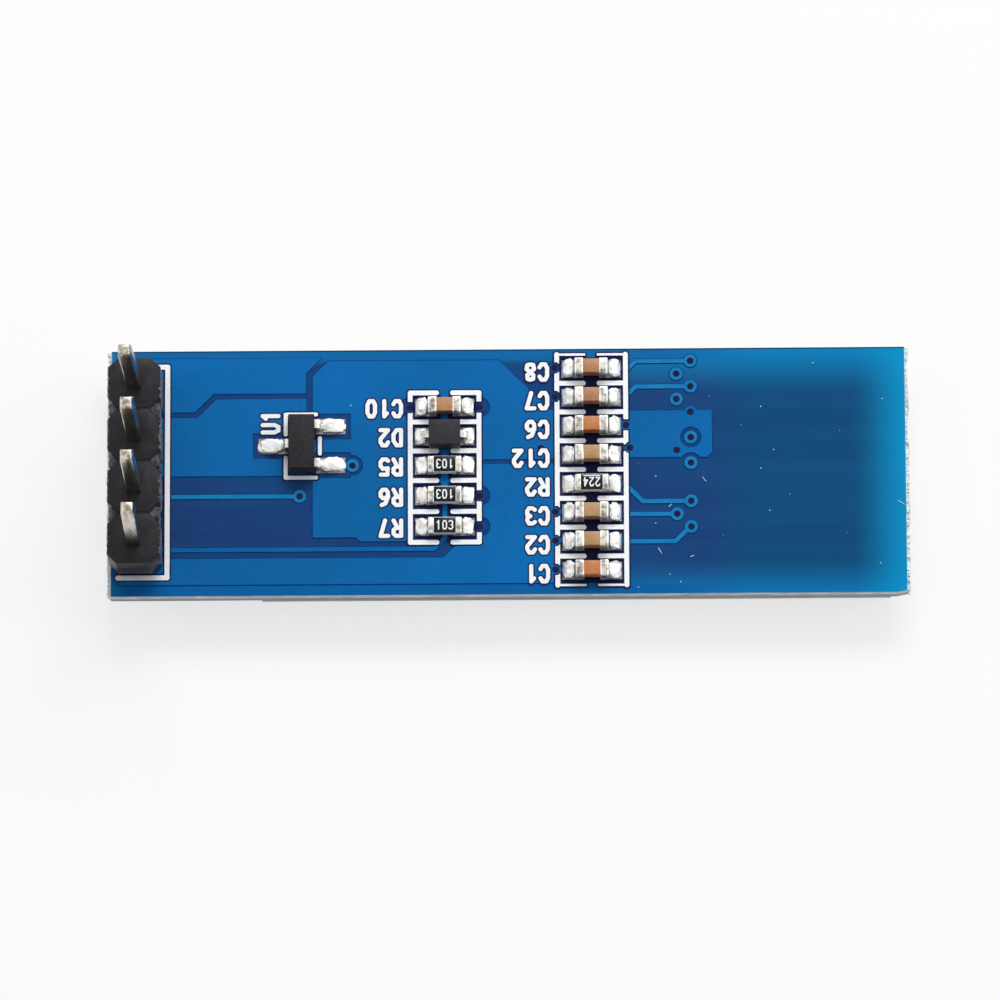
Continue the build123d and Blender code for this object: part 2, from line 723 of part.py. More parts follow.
def main():
    os.makedirs("parts", exist_ok=True)
    save(circuit_board(), "circuit_board")
    save(plated_barrels(), "plated_barrels")
    copper = back_copper()
    save(copper, "back_copper")
    save(back_solder_mask(copper), "back_solder_mask")
    save(back_legend(), "back_legend")
    plane = front_copper()
    save(plane, "front_copper")
    save(front_solder_mask(plane), "front_solder_mask")

    pins = [header_pin(y) for y in pin_y]
    save(header_housing(), "header_housing")
    save(group([header_joint(y, pin) for y, pin in zip(pin_y, pins)]), "header_joints")
    for i, pin in enumerate(pins):
        save(pin, f"header_pin_{i + 1}")

    body, leads, joints = regulator()
    save(body, "regulator_body")
    save(group(leads), "regulator_leads")
    save(group(joints), "regulator_joints")
    body, leads, joints = diode(*seats["diode"][0])
    save(body, "diode_body")
    save(group(leads), "diode_leads")
    save(group(joints), "diode_joints")

    core, ends = capacitor()
    for i, (x, y) in enumerate(seats["capacitor"]):
        seat = Pos(x, y, pad_z)
        save(seat * core, f"capacitor_{i + 1}_body")
        save(group([seat * ends]), f"capacitor_{i + 1}_ends")
    core, ends, coat = resistor()
    for i, (x, y) in enumerate(seats["resistor"]):
        seat = Pos(x, y, pad_z)
        save(seat * core, f"resistor_{i + 1}_body")
        save(group([seat * ends]), f"resistor_{i + 1}_ends")
        save(seat * coat, f"resistor_{i + 1}_overcoat")
    save(chip_joints(), "chip_joints")

    save(glass_slab(glass_left + polarizer_margin, cap_right - polarizer_margin, polarizer_margin, 0,
                    polarizer_thickness), "polarizer")
    save(glass_slab(glass_left, glass_right, 0, glass_z, substrate_thickness), "substrate_glass")
    save(cap_glass(), "cap_glass")
    save(glass_slab(glass_left + active_margin_x, cap_right - active_margin_x, active_margin_y, cap_z,
                    film_thickness), "emitting_film")
    driver_x = cap_right + driver_gap
    save(glass_slab(driver_x, driver_x + driver_width, driver_side_margin, cap_z, driver_height),
         "driver_chip")
    tape_x = glass_left + tape_start
    tape_end_x = flex_end_x - flex_joint_length - tape_end_gap
    save(glass_slab(tape_x, tape_end_x, tape_side_margin, tape_z, tape_thickness), "foam_tape")
    save(flex_tail(), "flex_tail")
    save(flex_contacts(), "flex_contacts")
    save(flex_joints(), "flex_joints")


main()
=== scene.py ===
import math
import random

import bmesh
import bpy
from mathutils import Matrix, Vector, noise
from mathutils.bvhtree import BVHTree


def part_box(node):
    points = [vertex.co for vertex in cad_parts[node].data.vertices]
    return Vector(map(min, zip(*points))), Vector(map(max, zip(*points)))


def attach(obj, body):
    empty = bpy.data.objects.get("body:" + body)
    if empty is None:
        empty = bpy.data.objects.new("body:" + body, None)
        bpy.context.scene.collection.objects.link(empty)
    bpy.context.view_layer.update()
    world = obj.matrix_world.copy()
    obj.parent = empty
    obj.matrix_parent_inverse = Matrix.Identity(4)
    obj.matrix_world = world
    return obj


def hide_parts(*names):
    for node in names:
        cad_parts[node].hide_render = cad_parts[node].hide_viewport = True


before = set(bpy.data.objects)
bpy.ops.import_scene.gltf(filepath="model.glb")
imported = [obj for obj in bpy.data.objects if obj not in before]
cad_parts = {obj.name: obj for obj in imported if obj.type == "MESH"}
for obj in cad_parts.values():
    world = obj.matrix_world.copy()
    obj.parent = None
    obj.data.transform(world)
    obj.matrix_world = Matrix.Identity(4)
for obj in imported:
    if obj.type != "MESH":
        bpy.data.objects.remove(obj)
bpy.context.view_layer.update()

# Looks of a small OLED display module that lies glass down on a pale table.
# Lengths are in millimetres until a piece is finished.
mm = 0.001
rng = random.Random(7)

# Camera, as fitted to the photograph
camera_turn = (-13.3317, -0.6048, 0.36833)   # degrees about X, Y and Z
camera_aim = (0.397, 1.368)
camera_distance = 457.09
sensor_width = 36.0
picture_focal = 9595.6                       # pixels
picture_width = 1000                         # pixels

# Solder mask relief
mask_film = 0.02            # film over bare laminate
relief_spread = 0.05        # width of the slope at a copper edge
track_area = 3.0            # a piece of copper smaller than this, in square millimetres, is a track
over_copper, slope, over_track = range(3)    # order of the materials on the high film

# Where the low film changes colour: along X or Y, from start to end
field_start = (9.0, 12.0)   # the open field past the chip parts
# painted light: the film is lighter near the edges of the board, where light comes through the laminate
far_painted_glow = (3.5, 6.6)
near_painted_glow = (-4.2, -6.7)
right_painted_glow = (16.2, 19.8)
left_painted_glow = (-18.1, -19.4)
painted_glow_start = (4.0, 6.0)     # along X, where the painted glow of the long edges sets in
# painted light: brighter strips of film between the copper and the long edges
far_painted_border = (5.2, 5.6)
near_painted_border = (-5.35, -5.6)
painted_border_end = (12.0, 7.0)    # along X, where the painted bright borders of the long edges end
# painted shade: a dark line along the far edge of the board
far_edge_shade = (5.92, 5.95)
cell_rows = {"capacitor_1_body": (-3.4, 3.8), "capacitor_2_body": (-5.5, 5.6)}    # a part of each column, whose framed cells are darkened as painted shade round the chip parts
cell_half = 1.56
cell_soft = 0.05
black = (0.0, 0.0, 0.0)

# Printed legend
ink_spread = 0.075          # dark rim of painted shade round each printed mark
ink_settle = 0.013
label_stroke = 0.205
glyph_width = 0.36
glyph_height = 0.75
glyph_step = 0.62
rim_points = 12
stroke_lap = 0.0004         # how far each stroke of a letter lies over the one before

# Vias
widest_via = 0.8            # a wider hole belongs to the header
via_mouth = 0.3
mouth_rise = 0.004
via_ring = 0.31             # radius of the light ring on a free pad
ring_slope = 0.05
column_reach = 2.3          # a via this near the middle of a column of chip parts has no light ring
hair = 0.0015               # lifts one thin mark off another

# Chip parts
cap_band = 0.44             # length of a metal end
cap_edge = 0.09
# half width of the band of painted shade along the middle of a capacitor end
cap_shade_half = 0.12
cap_wear = (0.018, 3.0)     # depth and scale of the uneven surface
resistor_band = 0.3
resistor_edge = 0.05
# half width of the band of painted shade along the middle of a resistor end
resistor_shade_half = 0.08
resistor_wear = (0.015, 3.5)
ceramic_start = 0.34        # the block starts this far inside its metal ends
ceramic_inset = 0.03        # and is this much narrower
code_size = (0.17, 0.4)
code_step = 0.29
code_stroke = 0.065

# Solder pads, measured from the middle of their part
regulator_feet = ((-1, 0.0), (1, 0.95), (1, -0.95))    # side and place across
regulator_foot = (0.86, 2.04)
regulator_pad = (0.67, 2.08)
diode_foot = (0.88, 1.4)
chip_pad = (0.38, 1.42)
pad_halves = {"regulator": 0.375, "chip": 0.43}

# Solder lumps and tin
chip_lump = (0.03, 0.57)    # from the end of a chip part outwards
chip_lump_rise = 0.62       # share of the height of the part
lump_halves = {"regulator": 0.33, "diode": 0.38, "chip": 0.4}
lump_heights = {"regulator": 0.36, "diode": 0.3}
tin_depth = 0.01
tin_height = 0.006
tin_edge = 0.005

# Header
block_wear = 0.035
flash_reach = 0.03          # how far torn plastic stands out of the row
flash_half = 0.72           # half of the width of a block that it covers
flash_top = 0.05            # its start below the top of the block
flash_drop = 0.7            # and how far down it goes
flash_sizes = (0.02, 0.07)
flash_count = 34            # scraps for each side of a block
web_reach = (0.06, 0.6)     # from the side of the row
web_half = 0.3
web_drop = 0.16             # below the top of the blocks
web_ruggedness = 0.09
pin_edge = 0.07
pin_taper = 0.36            # length of the pointed end
pin_narrowing = 0.26
pin_leans = ((-0.13, -0.12), (-0.02, -0.1), (0.0, -0.1), (0.05, -0.08))    # at the tips, along X and Y

# Torn ends
fibre_count = 560           # for each end
fibre_start = 0.07          # past the edge of the film
fibre_root = 0.06           # how deep a fibre starts inside
fibre_lengths = (0.03, 0.13)
fibre_halves = (0.03, 0.075)
fibre_turn = 0.4
short_share = 0.45          # length of the fibres on the far part of the right end
short_from = 1.0            # along Y

# Dust
speck_sizes = (0.036, 0.02)
large_specks = 13
dust_fibre = (0.015, 0.01)  # half width and half height

# Light: place, size and power of each softbox
softboxes = {
    "back softbox": ((70, 300, 330), (300, 140), 1.32),
    "left softbox": ((-330, 60, 240), (160, 240), 0.14),
    "right softbox": ((330, 60, 240), (160, 240), 0.36),
}
sky_color = (0.94, 0.97, 1.0, 1)
sky_slope = (-0.6, 0.6)     # from front to back, as directions
sky_strength = (0.16, 0.52)

# Table
table_color = (0.98, 0.96, 0.92, 1)
table_half = 1500
table_drop = 0.02
table_white = 0.73          # share of plain white that the camera sees


def tone(red, green, blue):
    """A colour given as it shows on screen, from 0 to 255, for a shader."""
    parts = [c / 255 for c in (red, green, blue)]
    return tuple(c / 12.92 if c <= 0.04045 else ((c + 0.055) / 1.055) ** 2.4 for c in parts)


def span(node):
    """Lowest and highest corner of a CAD node, in millimetres."""
    lo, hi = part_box(node)
    return lo / mm, hi / mm


def middle(node):
    lo, hi = span(node)
    return (lo + hi) / 2


surface = span("back_solder_mask")[1].z
pad_level = span("back_copper")[1].z
bare_level = span("back_copper")[0].z + mask_film


# Shaders
def shader(name, color, roughness, **settings):
    """A surface of one colour, whose constant values are on the shader's own sockets."""
    material = bpy.data.materials.new(name)
    material.use_nodes = True
    skin = material.node_tree.nodes["Principled BSDF"]
    skin.inputs["Base Color"].default_value = (*color, 1)
    skin.inputs["Roughness"].default_value = roughness
    for key, value in settings.items():
        skin.inputs[key.replace("_", " ").title().replace("Ior", "IOR")].default_value = value
    return material


def add(material, kind, **settings):
    node = material.node_tree.nodes.new(kind)
    for key, value in settings.items():
        setattr(node, key, value)
    return node


def wire(material, source, target):
    material.node_tree.links.new(source, target)


def skin_of(material):
    return material.node_tree.nodes["Principled BSDF"]


def place(material, stretch=(1, 1, 1)):
    """Object coordinates in millimetres, stretched."""
    coords = add(material, "ShaderNodeTexCoord")
    mapping = add(material, "ShaderNodeMapping")
    mapping.inputs["Scale"].default_value = [s / mm for s in stretch]
    wire(material, coords.outputs["Object"], mapping.inputs["Vector"])
    return mapping.outputs["Vector"]


def grain(material, scale, detail=3.0, stretch=(1, 1, 1), distortion=0.0):
    """Noise over the piece; scale is in patches for each millimetre."""
    field = add(material, "ShaderNodeTexNoise")
    field.inputs["Scale"].default_value = scale
    field.inputs["Detail"].default_value = detail
    field.inputs["Distortion"].default_value = distortion
    wire(material, place(material, stretch), field.inputs["Vector"])
    return field.outputs["Fac"]


def ramp(material, source, stops):
    """Colours along a value; stops are (place, colour)."""
    node = add(material, "ShaderNodeValToRGB")
    wire(material, source, node.inputs["Fac"])
    band = node.color_ramp
    while len(band.elements) < len(stops):
        band.elements.new(0.5)
    for element, (at, color) in zip(band.elements, stops):
        element.position = at
        element.color = (*color, 1)
    return node.outputs["Color"]


def blend_colors(material, factor, low, high):
    """From the low colour at factor 0 to the high one at 1. Each may be a value or a socket."""
    node = add(material, "ShaderNodeMix", data_type="RGBA")
    for socket, value in ((node.inputs[0], factor), (node.inputs[6], low), (node.inputs[7], high)):
        if isinstance(value, bpy.types.NodeSocket):
            wire(material, value, socket)
        else:
            socket.default_value = (*value, 1) if isinstance(value, tuple) else value
    return node.outputs[2]


def fade(material, source, start, end):
    """0 before start and 1 after end, with a soft step between them."""
    node = add(material, "ShaderNodeMapRange", interpolation_type="SMOOTHSTEP")
    wire(material, source, node.inputs["Value"])
    node.inputs["From Min"].default_value = start
    node.inputs["From Max"].default_value = end
    return node.outputs["Result"]


def axis_of(material, name):
    """Place along one axis, in millimetres."""
    split = add(material, "ShaderNodeSeparateXYZ")
    wire(material, place(material), split.inputs["Vector"])
    return split.outputs[name]


def bump(material, height, strength, distance):
    """Small relief from a value; distance is in millimetres."""
    node = add(material, "ShaderNodeBump")
    node.inputs["Strength"].default_value = strength
    node.inputs["Distance"].default_value = distance * mm
    wire(material, height, node.inputs["Height"])
    wire(material, node.outputs["Normal"], skin_of(material).inputs["Normal"])


def color_from(material, color):
    wire(material, color, skin_of(material).inputs["Base Color"])


def roughness_from(material, value, low, high):
    node = add(material, "ShaderNodeMapRange")
    wire(material, value, node.inputs["Value"])
    node.inputs["To Min"].default_value = low
    node.inputs["To Max"].default_value = high
    wire(material, node.outputs["Result"], skin_of(material).inputs["Roughness"])


def copper_mask_skin():
    """Blue film where a wide field of copper lies under it."""
    m = shader("mask over copper", tone(0, 106, 178), 0.32, specular_ior_level=0.09)
    drift = grain(m, 0.1, 2.0)
    fine = grain(m, 5.0, 4.0)
    base = ramp(m, drift, [(0.35, tone(2, 98, 162)), (0.65, tone(0, 108, 182))])
    speckled = ramp(m, fine, [(0.3, tone(0, 60, 120)), (0.7, tone(60, 140, 200))])
    color_from(m, blend_colors(m, 0.06, base, speckled))
    roughness_from(m, fine, 0.28, 0.38)
    bump(m, grain(m, 1.2, 3.0), 0.12, 0.02)
    return m


def track_mask_skin():
    """Blue film over narrow copper, where it is thinner and lighter."""
    m = shader("mask over a track", tone(18, 124, 184), 0.32, specular_ior_level=0.1)
    color_from(m, ramp(m, grain(m, 1.5), [(0.3, tone(10, 118, 176)), (0.7, tone(28, 130, 190))]))
    return m


def bare_mask_skin():
    """Blue film over bare laminate, with painted light near the edges of the board, where light comes through the
    laminate, a painted shade line along the far edge and painted shade in the cells round the chip parts.
    """
    m = shader("mask over laminate", tone(22, 60, 118), 0.32, specular_ior_level=0.09)
    x, y = axis_of(m, "X"), axis_of(m, "Y")
    drift = grain(m, 0.22, 2.0)
    base = ramp(m, drift, [(0.3, tone(24, 58, 116)), (0.7, tone(18, 66, 122))])
    field = blend_colors(m, fade(m, x, *field_start), base, tone(4, 73, 120))
    threads = grain(m, 1.0, 2.0, stretch=(0.06, 1.3, 1))
    weave = ramp(m, threads, [(0.35, tone(10, 50, 100)), (0.65, tone(40, 120, 170))])
    field = blend_colors(m, 0.06, field, weave)
    # painted light near the long edges, and below near the snapped ends
    inside, outside = fade(m, x, *painted_glow_start), fade(m, x, *painted_border_end)
    for along, reach, color in ((inside, far_painted_glow, tone(0, 134, 194)), (inside, near_painted_glow, tone(0, 124, 186)),
                                (outside, far_painted_border, tone(8, 104, 168)),
                                (outside, near_painted_border, tone(0, 96, 164))):
        rim = blend_colors(m, fade(m, y, *reach), black, along)
        field = blend_colors(m, rim, field, color)
    field = blend_colors(m, fade(m, x, *right_painted_glow), field, tone(0, 152, 208))
    field = blend_colors(m, fade(m, x, *left_painted_glow), field, tone(0, 128, 184))
    # painted shade along the far edge
    field = blend_colors(m, fade(m, y, *far_edge_shade), field, tone(10, 52, 92))
    # painted shade: the film inside the framed cells round the chip parts is darkened
    for node, (low, high) in cell_rows.items():
        left, right = middle(node).x - cell_half, middle(node).x + cell_half
        cell_shade_mask = fade(m, x, left, left + cell_soft)
        for axis, start, end in ((x, right, right - cell_soft), (y, low, low + cell_soft),
                                 (y, high, high - cell_soft)):
            cell_shade_mask = blend_colors(m, cell_shade_mask, black, fade(m, axis, start, end))
        field = blend_colors(m, cell_shade_mask, field, tone(6, 18, 62))
    color_from(m, field)
    roughness_from(m, grain(m, 5.0, 4.0), 0.28, 0.38)
    bump(m, threads, 0.08, 0.01)
    return m


def shaded_slope_skin():
    """Thick film on the slopes at the edges of the copper, darker than the film on top: partly the thicker film,
    partly painted shade for the dark lines along the copper edges.
    """
    m = shader("mask on a slope with painted shade", tone(0, 60, 124), 0.4, specular_ior_level=0.05)
    color_from(m, ramp(m, grain(m, 2.0), [(0.3, tone(0, 52, 114)), (0.7, tone(0, 70, 134))]))
    return m


# painted shade: the dark colour stands in for the shade inside a via hole
def via_hole_shade_skin():
    m = shader("via hole painted shade", tone(0, 2, 52), 0.2, specular_ior_level=0.2)
    color_from(m, ramp(m, grain(m, 9.0), [(0.45, tone(0, 0, 48)), (0.75, tone(16, 26, 88))]))
    return m


def ink_skin():
    m = shader("white ink", tone(250, 251, 253), 0.55)
    color_from(m, ramp(m, grain(m, 7.0, 5.0), [(0.3, tone(242, 245, 250)), (0.6, tone(253, 254, 255))]))
    bump(m, grain(m, 18.0), 0.2, 0.01)
    return m


# painted shade: a dark halo round each printed mark
def ink_shade_rim_skin():
    m = shader("painted shade round ink", tone(4, 16, 66), 0.4, specular_ior_level=0.2)
    color_from(m, ramp(m, grain(m, 4.0), [(0.3, tone(2, 12, 58)), (0.7, tone(8, 26, 84))]))
    return m


def metal(name, light, dark, roughness, scale, relief, stretch=(1, 1, 1), share=1.0):
    """Tinned or soldered metal with duller patches."""
    m = shader(name, light, roughness, metallic=share)
    patches = grain(m, scale, 5.0, stretch, 0.4)
    color_from(m, ramp(m, patches, [(0.36, dark), (0.58, light)]))
    roughness_from(m, patches, roughness * 1.4, roughness * 0.8)
    bump(m, grain(m, scale * 1.7, 4.0, stretch), 0.5, relief)
    return m


def plastic(name, color, lighter, roughness, scale, relief):
    """Dark moulded plastic with a faint uneven skin."""
    m = shader(name, color, roughness, specular_ior_level=0.22)
    patches = grain(m, scale, 5.0)
    color_from(m, ramp(m, patches, [(0.35, color), (0.75, lighter)]))
    roughness_from(m, grain(m, scale * 0.4, 3.0), roughness * 0.8, roughness * 1.2)
    bump(m, grain(m, scale * 2, 4.0), 0.5, relief)
    return m


def laminate_skin():
    """Cut glass fibre laminate: pale layers, with bright chips and darker pits along the sawn edge. The bright
    chips are partly whitish broken fibre and partly painted glints, and the lower part of the edge is darker as
    painted shade.
    """
    m = shader("laminate", tone(200, 206, 206), 0.5)
    z = axis_of(m, "Z")
    layers = grain(m, 1.0, 3.0, stretch=(0.5, 0.5, 9.0))
    chips_and_glints = grain(m, 3.6, 5.0, stretch=(0.4, 1, 2.0))
    base = ramp(m, layers, [(0.3, tone(172, 182, 184)), (0.55, tone(206, 212, 214)), (0.75, tone(232, 236, 236))])
    base = blend_colors(m, 0.5, base, ramp(m, chips_and_glints, [(0.38, tone(150, 160, 166)), (0.58, tone(254, 254, 254))]))
    # painted shade: the lower part of the sawn edge is darker
    color_from(m, blend_colors(m, fade(m, z, 2.2, 1.85), base, tone(132, 140, 146)))
    roughness_from(m, chips_and_glints, 0.7, 0.3)
    bump(m, chips_and_glints, 0.7, 0.05)
    return m


def ceramic(name, low, high):
    """Fired ceramic of a capacitor, with fine specks and slightly darker patches."""
    m = shader(name, high, 0.42)
    patches = grain(m, 1.6, 4.0)
    specks = grain(m, 22.0, 2.0)
    base = ramp(m, patches, [(0.3, low), (0.7, high)])
    speckled = ramp(m, specks, [(0.4, tone(90, 60, 40)), (0.6, tone(230, 190, 150))])
    color_from(m, blend_colors(m, 0.16, base, speckled))
    bump(m, specks, 0.25, 0.01)
    return m


def glass_skin():
    m = shader("panel glass", tone(214, 230, 226), 0.04, transmission_weight=0.85, ior=1.5)
    color_from(m, ramp(m, grain(m, 0.2), [(0.3, tone(206, 226, 220)), (0.7, tone(224, 236, 234))]))
    return m


def film_skin(name, low, high, roughness, scale):
    m = shader(name, high, roughness)
    patches = grain(m, scale, 4.0)
    color_from(m, ramp(m, patches, [(0.3, low), (0.7, high)]))
    roughness_from(m, patches, roughness * 0.8, roughness * 1.3)
    return m


copper_mask = copper_mask_skin()
bare_mask = bare_mask_skin()
shaded_slope_mask = shaded_slope_skin()
via_hole_shade = via_hole_shade_skin()
ink = ink_skin()
ink_shade_rim = ink_shade_rim_skin()
track_mask = track_mask_skin()
# painted sheen: near-white and mostly not metallic, so the solder is as bright as its reflections of the lamps
solder = metal("solder", tone(255, 255, 254), tone(206, 202, 196), 0.26, 2.6, 0.035, share=0.3)
cone_solder = metal("cone solder", tone(226, 226, 224), tone(170, 172, 172), 0.18, 1.0, 0.01)
# painted highlight: near-white, half metallic tin for the bright edges of the metal ends; painted shade: darker
# tin along their middle
tin_highlight = metal("tin with painted highlight", tone(254, 253, 249), tone(200, 198, 192), 0.3, 4.0, 0.02, share=0.5)
tin_shade = metal("tin with painted shade", tone(206, 204, 196), tone(116, 114, 108), 0.34, 4.0, 0.02)
tinned_pad = metal("tinned pad", tone(150, 148, 146), tone(84, 82, 84), 0.3, 3.0, 0.02)
pin_metal = metal("pin plating", tone(204, 198, 184), tone(138, 131, 118), 0.22, 1.2, 0.006, (3, 3, 0.5))
lead_metal = metal("lead plating", tone(236, 234, 230), tone(180, 178, 172), 0.24, 4.0, 0.01)
bare_copper = metal("bare copper", tone(216, 150, 110), tone(176, 108, 74), 0.35, 2.0, 0.005)
covered_copper = metal("copper under film", tone(20, 78, 134), tone(10, 60, 116), 0.4, 2.0, 0.005, share=0.2)
gold = metal("gold plating", tone(232, 196, 120), tone(198, 158, 84), 0.3, 2.0, 0.005)
housing_black = plastic("header plastic", tone(17, 15, 20), tone(33, 30, 37), 0.42, 2.5, 0.012)
torn_plastic = plastic("torn plastic edge", tone(64, 62, 70), tone(172, 171, 180), 0.45, 5.0, 0.03)
web_plastic = plastic("torn web plastic", tone(20, 18, 24), tone(104, 102, 112), 0.4, 3.0, 0.04)
moulding_black = plastic("moulding compound", tone(18, 17, 20), tone(39, 37, 42), 0.6, 6.0, 0.01)
diode_grey = plastic("diode moulding", tone(31, 30, 36), tone(46, 45, 53), 0.5, 4.0, 0.01)
glaze = plastic("resistor glaze", tone(14, 13, 15), tone(26, 25, 28), 0.25, 4.0, 0.006)
alumina = film_skin("alumina", tone(214, 216, 214), tone(240, 240, 238), 0.5, 6.0)
laminate = laminate_skin()
fibre = shader("glass fibre", tone(244, 248, 250), 0.4, subsurface_weight=0.5, subsurface_scale=0.0002)
color_from(fibre, ramp(fibre, grain(fibre, 4.0), [(0.3, tone(222, 230, 234)), (0.6, tone(252, 254, 255))]))
brown = ceramic("brown ceramic", tone(164, 108, 66), tone(186, 132, 86))
orange = ceramic("orange ceramic", tone(184, 98, 36), tone(202, 120, 54))
tan = ceramic("tan ceramic", tone(168, 128, 80), tone(190, 150, 102))
dust_white = film_skin("dust", tone(190, 215, 235), tone(235, 242, 250), 0.8, 20.0)
polarizer_black = film_skin("polariser", tone(12, 12, 16), tone(20, 20, 26), 0.12, 0.3)
panel_glass = glass_skin()
emitting_dark = film_skin("emitting film", tone(26, 28, 36), tone(38, 40, 50), 0.2, 0.5)
silicon = film_skin("silicon", tone(96, 100, 110), tone(120, 124, 134), 0.18, 1.0)
foam_black = film_skin("foam tape", tone(26, 26, 28), tone(44, 44, 46), 0.9, 9.0)
amber = film_skin("flex film", tone(176, 112, 36), tone(196, 132, 50), 0.3, 0.8)


# Meshes
def finish(name, bm, materials, replaced, sharp=35.0):
    """Makes a named piece of a mesh drawn in millimetres."""
    bmesh.ops.scale(bm, vec=(mm, mm, mm), verts=bm.verts)
    mesh = bpy.data.meshes.new(name)
    bm.to_mesh(mesh)
    bm.free()
    for material in materials:
        mesh.materials.append(material)
    if sharp:
        mesh.set_sharp_from_angle(angle=math.radians(sharp))
    piece = bpy.data.objects.new(name, mesh)
    bpy.context.scene.collection.objects.link(piece)
    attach(piece, "root")
    if replaced:
        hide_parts(*replaced)


def smooth(bm):
    for f in bm.faces:
        f.smooth = True


def islands(bm):
    """Groups of faces that hang together."""
    left, groups = set(bm.faces), []
    while left:
        group, edge = [], [left.pop()]
        while edge:
            face = edge.pop()
            group.append(face)
            near = {f for e in face.edges for f in e.link_faces} & left
            left -= near
            edge += near
        groups.append(group)
    return groups


def round_box(bm, lo, hi, radius, segments, turn=None):
    """A box with rounded edges. Returns its vertices."""
    lo, hi = Vector(lo), Vector(hi)
    size = hi - lo
    matrix = Matrix.Translation((lo + hi) / 2) @ (turn or Matrix()) @ Matrix.Diagonal((*size, 1))
    verts = bmesh.ops.create_cube(bm, size=1.0, matrix=matrix)["verts"]
    edges = {e for v in verts for e in v.link_edges}
    made = bmesh.ops.bevel(bm, geom=list(edges), offset=radius, offset_type="OFFSET", segments=segments,
                           profile=0.5, affect="EDGES", material=-1, clamp_overlap=True)
    faces = {f for v in made["verts"] + verts if v.is_valid for f in v.link_faces}
    for face in faces:
        face.smooth = True
    return list({v for f in faces for v in f.verts})


def node_mesh(name, keep):
    """The faces of a CAD node that pass a test, joined, in millimetres."""
    bm = bmesh.new()
    bm.from_mesh(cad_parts[name].data)
    bmesh.ops.scale(bm, vec=(1 / mm,) * 3, verts=bm.verts)
    bmesh.ops.remove_doubles(bm, verts=bm.verts, dist=0.0005)
    bm.normal_update()
    drop = [f for f in bm.faces if not keep(f)]
    bmesh.ops.delete(bm, geom=drop, context="FACES")
    return bm


def level(bm, z):
    """Puts every vertex at one height, with the faces looking up."""
    for v in bm.verts:
        v.co.z = z
    bm.normal_update()
    down = [f for f in bm.faces if f.normal.z < 0]
    bmesh.ops.reverse_faces(bm, faces=down)
    bm.normal_update()


def skirt(bm, steps, material):
    """Lets the open edges of flat faces fall outwards; steps are (spread, fall)."""
    for spread, fall in steps:
        rims = [e for e in bm.edges if e.is_boundary]
        made = bmesh.ops.extrude_edge_only(bm, edges=rims)["geom"]
        low = [g for g in made if isinstance(g, bmesh.types.BMVert)]
        walls = [g for g in made if isinstance(g, bmesh.types.BMFace)]
        bmesh.ops.translate(bm, vec=(0, 0, -1), verts=low)
        bm.normal_update()
        moves = [(v, v.normal * min(v.calc_shell_factor(), 1.5) * spread) for v in low]
        for v, move in moves:
            v.co += Vector((move.x, move.y, 1 - fall))
        for wall in walls:
            wall.material_index = material
            wall.smooth = True


def rough_up(verts, amount, scale, seed):
    """Moves vertices along their normals by smooth noise."""
    shift = Vector((seed * 7.3, seed * 3.1, seed * 5.7))
    moves = [(v, v.normal * noise.noise(v.co * scale + shift) * amount) for v in verts]
    for v, move in moves:
        v.co += move


# Board
def board():
    bm = node_mesh("circuit_board", lambda f: True)
    finish("board", bm, [laminate], ["circuit_board"], 0)


def mask_pieces():
    """The two levels of the film: low over bare laminate, high over copper, with slopes between."""
    bm = node_mesh("back_solder_mask", lambda f: f.normal.z > 0.9 and f.calc_center_median().z > surface - 0.001)
    level(bm, bare_level)
    skirt(bm, [(0.0, mask_film)], 0)
    finish("mask_over_laminate", bm, [bare_mask], ["back_solder_mask"], 0)

    bm = node_mesh("back_solder_mask", lambda f: f.normal.z < -0.9
                   and abs(f.calc_center_median().z - pad_level) < 0.001)
    level(bm, surface)
    for group in islands(bm):
        if sum(f.calc_area() for f in group) < track_area:
            for f in group:
                f.material_index = over_track
    rise = surface - bare_level
    skirt(bm, [(relief_spread * 0.3, rise * 0.2), (relief_spread * 0.4, rise * 0.55),
               (relief_spread * 0.3, rise * 0.25)], slope)
    on_track = holes_on(bm, over_track)
    finish("mask_over_copper", bm, [copper_mask, shaded_slope_mask, track_mask], ["back_solder_mask"], 0)

    columns = [middle(node).x for node in cell_rows]
    bm = bmesh.new()
    for c in on_track:
        disc(bm, (c.x, c.y, surface + hair), via_ring, 24)
        if min(abs(c.x - x) for x in columns) < column_reach:
            bm.faces.ensure_lookup_table()
            bm.faces[-1].material_index = 2
    bm.normal_update()
    skirt(bm, [(ring_slope, rise * 0.9)], 1)
    finish("via_pads", bm, [track_mask, shaded_slope_mask, bare_mask], [], 0)


def holes_on(bm, material):
    """Middle of each via over which the sheet has faces of one material."""
    tree = BVHTree.FromBMesh(bm)
    bm.faces.ensure_lookup_table()
    found = []
    for centre, width in hole_centres():
        if width < widest_via:
            face = tree.ray_cast(Vector((centre.x, centre.y, surface + 1)), Vector((0, 0, -1)))[2]
            if face is not None and bm.faces[face].material_index == material:
                found.append(centre)
    return found


def disc(bm, at, radius, sides):
    """A flat round mark that looks up."""
    made = bmesh.ops.create_circle(bm, cap_ends=True, radius=radius, segments=sides,
                                   matrix=Matrix.Translation(at))["verts"]
    face = made[0].link_faces[0]
    face.normal_update()
    if face.normal.z < 0:
        bmesh.ops.reverse_faces(bm, faces=[face])


def hole_centres():
    """Middle of each plated hole, found from the loose tubes of the node."""
    bm = node_mesh("plated_barrels", lambda f: True)
    left, centres = set(bm.verts), []
    while left:
        group, edge = set(), [next(iter(left))]
        while edge:
            v = edge.pop()
            if v in left:
                left.discard(v)
                group.add(v)
                edge += [e.other_vert(v) for e in v.link_edges]
        low = Vector([min(v.co[i] for v in group) for i in range(3)])
        high = Vector([max(v.co[i] for v in group) for i in range(3)])
        centres.append(((low + high) / 2, (high - low).x))
    bm.free()
    return centres


